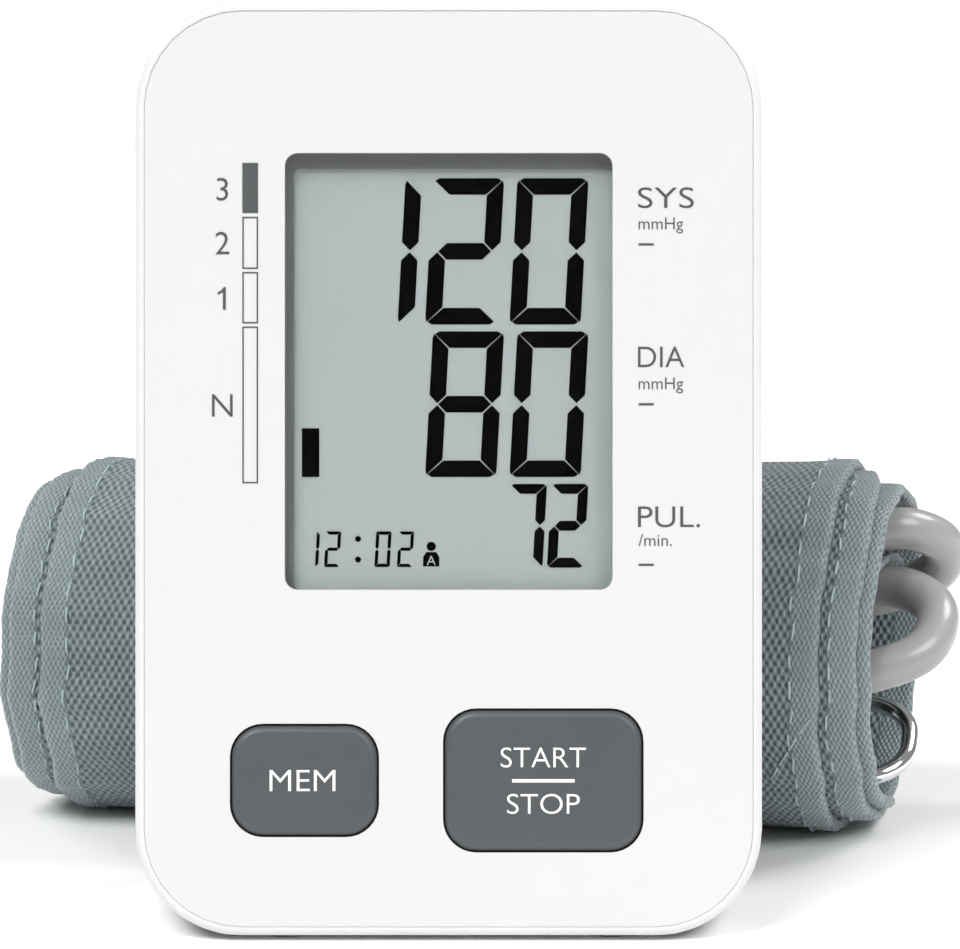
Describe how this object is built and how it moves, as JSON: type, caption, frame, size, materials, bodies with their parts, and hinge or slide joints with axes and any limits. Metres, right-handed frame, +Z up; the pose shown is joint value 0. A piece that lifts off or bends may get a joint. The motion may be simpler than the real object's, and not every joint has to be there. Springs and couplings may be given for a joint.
{
  "type": "upper arm blood pressure monitor",
  "caption": "Desk blood pressure monitor with a large display and two push buttons, leaning back in front of its rolled upper arm cuff and air tube.",
  "frame": {"origin": "on the floor, under the centre of the object's box without the air tube and its plug", "axes": "+Z up, -Y towards the display side, +X to the viewer's right"},
  "size_m": [0.1607, 0.1268, 0.1473],
  "materials": {
    "white_plastic": "satin moulded",
    "face_film": "satin",
    "clear_lens": "clear",
    "dark_plastic": "matte",
    "lcd_glass": "matte film",
    "button_plastic": "satin",
    "grey_rubber": "matte",
    "board_green": "solder mask",
    "chip_black": "matte",
    "cell_wrap": "printed sleeve",
    "spring_steel": "nickel plated",
    "motor_steel": "drawn",
    "silicone": "translucent",
    "cuff_cloth": "woven nylon",
    "cuff_trim": "satin tape",
    "bladder_film": "film",
    "tape_cloth": "hook and loop",
    "chrome_wire": "polished",
    "tube_pvc": "smooth",
    "jack_plastic": "matte"
  },
  "bodies": {
    "monitor": {"front_casing": "white_plastic", "rear_casing": "white_plastic", "face_plate": "face_film", "display_lens": "clear_lens", "display_mask": "dark_plastic", "lcd_panel": "lcd_glass", "lcd_holder": "white_plastic", "contact_strips": "silicone", "circuit_board": "board_green", "controller_chip": "chip_black", "buzzer": "chip_black", "keypad_mat": "grey_rubber", "batteries": "cell_wrap", "battery_contacts": "spring_steel", "pump_motor": "motor_steel", "pump_head": "chip_black", "pump_diaphragm": "grey_rubber", "exhaust_valve": "motor_steel", "pressure_sensor": "chip_black", "air_hoses": "silicone", "air_jack": "jack_plastic", "rubber_feet": "grey_rubber", "casing_screws": "spring_steel", "board_screws": "spring_steel"},
    "mem_key": {"mem_button": "button_plastic"},
    "start_key": {"start_button": "button_plastic"},
    "cover": {"battery_cover": "white_plastic"},
    "crank": {"motor_shaft": "motor_steel"},
    "plunger": {"valve_plunger": "motor_steel"},
    "ring": {"d_ring": "chrome_wire"},
    "cuff": {"cuff_cover": "cuff_cloth", "cuff_flap": "cuff_cloth", "air_bladder": "bladder_film", "hook_tape": "tape_cloth", "loop_panel": "tape_cloth", "edge_binding": "cuff_trim", "d_ring_sleeve": "cuff_cloth", "tube_port": "jack_plastic", "air_tube": "tube_pvc", "air_plug": "jack_plastic"}
  },
  "joints": [
    {"name": "mem_press", "type": "slide", "parent": "monitor", "child": "mem_key", "axis": [0, 0.9816, -0.1908], "range_m": [0, 0.0008], "stiffness_N_per_m": 900, "springref_m": -0.001},
    {"name": "start_press", "type": "slide", "parent": "monitor", "child": "start_key", "axis": [0, 0.9816, -0.1908], "range_m": [0, 0.0008], "stiffness_N_per_m": 900, "springref_m": -0.001},
    {"name": "cover_turn", "type": "hinge", "parent": "monitor", "child": "cover", "pos_m": [-0.0034, -0.00996, 0.06795], "axis": [-1, 0, 0], "range_deg": [0, 75]},
    {"name": "crank_spin", "type": "hinge", "parent": "monitor", "child": "crank", "pos_m": [-0.0034, -0.03215, 0.02549], "axis": [1, 0, 0], "continuous": true},
    {"name": "valve_travel", "type": "slide", "parent": "monitor", "child": "plunger", "axis": [-1, 0, 0], "range_m": [0, 0.001], "stiffness_N_per_m": 300, "springref_m": -0.0008},
    {"name": "ring_swing", "type": "hinge", "parent": "cuff", "child": "ring", "pos_m": [-0.00082, 0.02263, 0.00886], "axis": [0.9903, -0.1392, 0], "range_deg": [-8, 25]},
    {"name": "cuff_away", "type": "slide", "parent": "monitor", "child": "cuff", "axis": [0, 1, 0], "range_m": [0, 0.1]}
  ]
}
